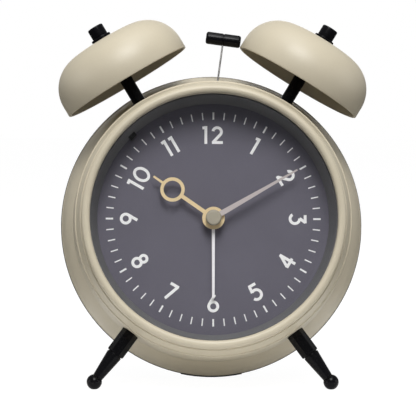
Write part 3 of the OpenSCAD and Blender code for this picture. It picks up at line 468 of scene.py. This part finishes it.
def bezel():
    """A ring with a round crest in front, a groove behind it, and two steps down to the case."""
    crest_r, crest_at = 1.5, (47.5, -13.5)
    step_1, step_2 = (49.25, -9.4), (51.6, -4.3)
    bezel_r, round_r = 52.1, 0.4
    lip_r, lip_y = 46.0, -12.0
    path = [(stack_r + 0.15, lip_y), (lip_r, lip_y), (lip_r, lip_y - 0.25)]
    path += arc(crest_at, crest_r, 200, 350, 30)
    path += [(49.1, -12.2), (step_1[0] - 0.05, step_1[1] - 0.35)]
    path += arc((step_1[0] + 0.25, step_1[1] + round_r), round_r, 250, 345, 8)
    path += [(step_2[0] - 0.12, step_2[1] - 0.4)]
    path += arc((bezel_r - round_r, step_2[1] + round_r), round_r, 260, 360, 8)
    path += [(bezel_r, bezel_back_y), (stack_r + 0.15, bezel_back_y)]
    bm = bmesh.new()
    revolve(bm, path, 256, closed=True)
    finish_piece("bezel", bm, DEPTH, "clock", ["bezel_ring"], "sand_paint", 38)


def cap():
    cap_r, front_y, back_y, round_r = 2.95, -7.1, -5.22, 0.75
    path = [(0, front_y), (1.2, front_y)] + arc((cap_r - round_r, front_y + round_r), round_r, 270, 360, 10)
    path += [(cap_r, back_y), (0, back_y)]
    bm = bmesh.new()
    revolve(bm, path, 96)
    finish_piece("cap", bm, DEPTH, "minute", ["hand_cap"], "sand_plastic")


# ---------------------------------------------------------------- bells, stems and legs

def bell(name, sign):
    """A thin spun dome with a flatter crown, open below, and a small hole for the stem."""
    flat_r, shoulder_h = bell_r - bell_shoulder_r, bell_side_h + bell_shoulder_r
    inner_r, hole_r = bell_r - bell_t, 1.9
    outer = arc((flat_r, bell_side_h), bell_shoulder_r, 90, 0, 40)
    inner = arc((flat_r, bell_side_h), bell_shoulder_r - bell_t, 0, 90, 36)
    crown = [(4.0, bell_h), (7.0, (bell_h * 2 + shoulder_h) / 3 + 0.06)]
    rim = [(bell_r, 0.35), (bell_r - 0.12, 0.12), (bell_r - 0.35, 0), (inner_r + 0.25, 0),
           (inner_r + 0.06, 0.1), (inner_r, 0.3)]
    path = [(hole_r, bell_h - bell_t), (hole_r, bell_h)] + crown + outer + rim + inner
    path += [(r, h - bell_t) for r, h in reversed(crown)]
    bm = bmesh.new()
    revolve(bm, path, 224, closed=True)
    place = on_wall(sign * bell_angle, bell_y) @ Matrix.Translation((0, 0, bell_gap * MM))
    finish_piece(name, bm, place, "clock", ["bell_left" if sign < 0 else "bell_right"], "sand_paint", 50)


def bell_nut(name, sign):
    """A flat collar, a narrow neck and a cylinder with a rounded end."""
    collar_r, collar_h, neck_r, nut_r, nut_h = 4.05, 1.3, 3.05, 3.2, 5.7
    corners = [(0, 0, 0), (collar_r - 0.05, 0, 0.2), (collar_r, collar_h, 0.25), (neck_r, collar_h, 0.1),
               (neck_r, collar_h + 0.3, 0.1), (nut_r, collar_h + 0.35, 0.1), (nut_r, nut_h, 0.5), (0, nut_h, 0)]
    bm = bmesh.new()
    revolve(bm, softened(corners), 96)
    place = on_wall(sign * bell_angle, bell_y) @ Matrix.Translation((0, 0, (bell_gap + bell_h) * MM))
    node = "bell_nut_left" if sign < 0 else "bell_nut_right"
    finish_piece(name, bm, place, "clock", [node], "black_metal")


def bell_stem(name, sign):
    """A stud inside the case, a foot on its wall, the stem, and the thin end that goes through the bell."""
    top = bell_gap + bell_h - bell_t
    stud_r, stud_h, foot_r, foot_h, end_r, end_h = 1.5, 4.5, stem_r + 0.9, 1.4, 1.8, 3.99
    corners = [(0, -stud_h, 0), (stud_r, -stud_h, 0.2), (stud_r, 0, 0), (foot_r, 0, 0), (foot_r, foot_h, 0.35),
               (stem_r, foot_h + 0.05, 0.15), (stem_r, top, 0.05), (end_r, top, 0), (end_r, top + end_h, 0),
               (0, top + end_h, 0)]
    bm = bmesh.new()
    revolve(bm, softened(corners), 72)
    finish_piece(name, bm, on_wall(sign * bell_angle, bell_y), "clock",
                 ["bell_stem_left" if sign < 0 else "bell_stem_right"], "black_metal")


def leg(name, sign):
    """A hexagonal part, a shoulder, a tapered round shank and a ball foot with a small flat."""
    bm = bmesh.new()
    r = leg_hex_w / 2
    hexagon = [(r * 0.98, 0.0), (r, 0.12), (r, leg_hex_l - 0.45), (r - 0.12, leg_hex_l - 0.18),
               (r - 0.4, leg_hex_l)]
    revolve(bm, [(0, 0)] + hexagon + [(0, leg_hex_l)], 6)
    neck = leg_ball_l - ball_r
    collar_r, shank_r, shank_end_r = 2.7, 3.05, 1.95
    shank = softened([(0, leg_hex_l - 0.3, 0), (collar_r, leg_hex_l - 0.3, 0), (collar_r, leg_hex_l + 0.3, 0.05),
                      (shank_r, leg_hex_l + 0.35, 0.3), (shank_end_r, neck + 0.8, 0)])
    ball = arc((0, leg_ball_l), ball_r, -46, 90, 26)
    revolve(bm, shank + [(max(x, 0.0), y) for x, y in ball], 72)
    place = on_wall(math.pi + sign * leg_angle, leg_y)
    into_leg = place.inverted()
    up = (into_leg.to_3x3() @ Vector((0, 0, 1))).normalized()
    bmesh.ops.bisect_plane(bm, geom=bm.verts[:] + bm.edges[:] + bm.faces[:],
                           plane_co=into_leg @ Vector((0, 0, 1e-6)), plane_no=-up, clear_outer=True)
    bmesh.ops.holes_fill(bm, edges=[e for e in bm.edges if e.is_boundary])
    finish_piece(name, bm, place, "clock", ["leg_left" if sign > 0 else "leg_right"], "black_metal")


def hammer_head():
    """A short rod across the wire, with rounded ends and a shallow groove round its middle."""
    r, half, end_round = head_d / 2, head_l / 2, 0.9
    groove_r, groove_w = r - 0.2, 0.6
    corners = [(0, -half, 0), (r, -half, end_round), (r, -groove_w / 2, 0.1), (groove_r, -groove_w / 4, 0.05),
               (groove_r, groove_w / 4, 0.05), (r, groove_w / 2, 0.1), (r, half, end_round), (0, half, 0)]
    bm = bmesh.new()
    revolve(bm, softened(corners), 72)
    swung = Matrix.Translation(Vector((0, 0, pivot_z)) * MM) @ Matrix.Rotation(hammer_rest, 4, "Y")
    at_end = Matrix.Translation(Vector((0, lever_mid_y, hammer_l)) * MM) @ Matrix.Rotation(math.pi / 2, 4, "Y")
    place = CLOCK @ swung @ at_end
    finish_piece("hammer", bm, place, "hammer", ["hammer_head"], "black_metal")


# ---------------------------------------------------------------- floor, light and camera

def floor():
    """A plain pale floor. The camera sees it almost white, and near the clock it throws soft light up."""
    near_r, far_r = 0.09, 0.14
    near_grey, far_grey, near_glow = (0.85, 0.85, 0.85), (0.12, 0.12, 0.12), 0.12
    seen_glow, seen_grey = 0.96, (0.11, 0.11, 0.11, 1)
    bm = bmesh.new()
    revolve(bm, [(0, 0), (400, 0), (1200, 0), (6000, 0)], 96)
    mesh = bpy.data.meshes.new("floor")
    bm.to_mesh(mesh)
    bm.free()
    piece = bpy.data.objects.new("floor", mesh)
    bpy.context.scene.collection.objects.link(piece)
    s = Surface("floor", roughness=0.95, specular=0.0)
    far = s.tree.nodes.new("ShaderNodeVectorMath")
    far.operation = "LENGTH"
    s.tree.links.new(s.place, far.inputs[0])
    reach = s.between(far.outputs["Value"], 0, 1, near_r, far_r)
    s.set_colour(s.mixed(reach, near_grey, far_grey))
    glow = s.node("ShaderNodeEmission", Color=(1, 1, 1, 1), Strength=s.between(reach, near_glow, 0.0, 0.0, 1.0))
    lit = s.tree.nodes.new("ShaderNodeAddShader")
    s.tree.links.new(s.shader.outputs["BSDF"], lit.inputs[0])
    s.tree.links.new(glow.outputs[0], lit.inputs[1])
    bounce = lit.outputs[0]
    seen = s.node("ShaderNodeEmission", Color=(1, 1, 1, 1), Strength=seen_glow)
    shade = s.node("ShaderNodeBsdfDiffuse", Color=seen_grey)
    added = s.tree.nodes.new("ShaderNodeAddShader")
    chosen = s.tree.nodes.new("ShaderNodeMixShader")
    ray = s.tree.nodes.new("ShaderNodeLightPath")
    s.tree.links.new(shade.outputs[0], added.inputs[0])
    s.tree.links.new(seen.outputs[0], added.inputs[1])
    s.tree.links.new(ray.outputs["Is Camera Ray"], chosen.inputs["Fac"])
    s.tree.links.new(bounce, chosen.inputs[1])
    s.tree.links.new(added.outputs[0], chosen.inputs[2])
    s.tree.links.new(chosen.outputs[0], s.tree.nodes["Material Output"].inputs["Surface"])
    piece.data.materials.append(s.material)


def area_light(name, towards, elevation, azimuth, distance, size, watts):
    """A soft square light round the clock. Azimuth 0 is in front of the dial, and 90 is to its right."""
    e, a = math.radians(elevation), math.radians(azimuth)
    away = Vector((math.sin(a) * math.cos(e), -math.cos(a) * math.cos(e), math.sin(e)))
    light = bpy.data.lights.new(name, "AREA")
    light.shape, light.size, light.energy = "SQUARE", size, watts
    lamp = bpy.data.objects.new(name, light)
    bpy.context.scene.collection.objects.link(lamp)
    lamp.location = towards + away * distance
    lamp.rotation_mode = "QUATERNION"
    lamp.rotation_quaternion = (-away).to_track_quat("-Z", "Y")
    lamp.visible_camera = False


def studio():
    """An even pale surround, which the camera sees as white, and five large soft lights."""
    world = bpy.data.worlds.new("studio")
    bpy.context.scene.world = world
    world.use_nodes = True
    tree = world.node_tree
    surround = tree.nodes["Background"]
    surround.inputs["Color"].default_value = (1, 1, 1, 1)
    surround.inputs["Strength"].default_value = 0.32
    white = tree.nodes.new("ShaderNodeBackground")
    white.inputs["Color"].default_value = (1, 1, 1, 1)
    ray, chosen = tree.nodes.new("ShaderNodeLightPath"), tree.nodes.new("ShaderNodeMixShader")
    tree.links.new(ray.outputs["Is Camera Ray"], chosen.inputs["Fac"])
    tree.links.new(surround.outputs[0], chosen.inputs[1])
    tree.links.new(white.outputs[0], chosen.inputs[2])
    tree.links.new(chosen.outputs[0], tree.nodes["World Output"].inputs["Surface"])
    # name, elevation and azimuth in degrees, distance and size in metres, power in watts
    lights = (("key", 50, 0, 0.9, 0.42, 6.7), ("top", 82, 0, 0.8, 0.5, 1.6), ("back", 8, 180, 0.9, 0.5, 1.0),
              ("left", 5, -80, 0.9, 0.5, 1.2), ("right", 5, 80, 0.9, 0.5, 1.2))
    for name, elevation, azimuth, distance, size, watts in lights:
        area_light(name, dial_centre, elevation, azimuth, distance, size, watts)


def camera():
    """The photograph's viewing angle: nearly level, a little to the left of the dial's axis."""
    elevation, azimuth, roll = math.radians(-3.25), math.radians(1.15), math.radians(0.234)
    distance, aim_right, aim_up = 642.2 * MM, -2.0 * MM, 4.1 * MM
    focal_mm, sensor_mm = 147.1, 36.0
    look = Vector((math.sin(azimuth) * math.cos(elevation), math.cos(azimuth) * math.cos(elevation),
                   math.sin(elevation)))
    turn = look.to_track_quat("-Z", "Y") @ Matrix.Rotation(roll, 3, "Z").to_quaternion()
    aim = dial_centre + turn @ Vector((aim_right, aim_up, 0))
    lens = bpy.data.cameras.new("camera")
    lens.lens, lens.sensor_width = focal_mm, sensor_mm
    lens.clip_start, lens.clip_end = 0.01, 20
    made = bpy.data.objects.new("camera", lens)
    bpy.context.scene.collection.objects.link(made)
    made.rotation_mode = "QUATERNION"
    made.rotation_quaternion = turn
    made.location = aim - look * distance
    bpy.context.scene.camera = made


bpy.context.scene.view_settings.view_transform = "Standard"
materials = make_materials()
paint_cad_nodes()
case_shell()
bezel()
cap()
for which, sign in (("left", -1), ("right", 1)):
    bell("bell_dome_" + which, sign)
    bell_nut("bell_finial_" + which, sign)
    bell_stem("bell_post_" + which, sign)
    leg("foot_" + which, -sign)
hammer_head()
floor()
studio()
camera()
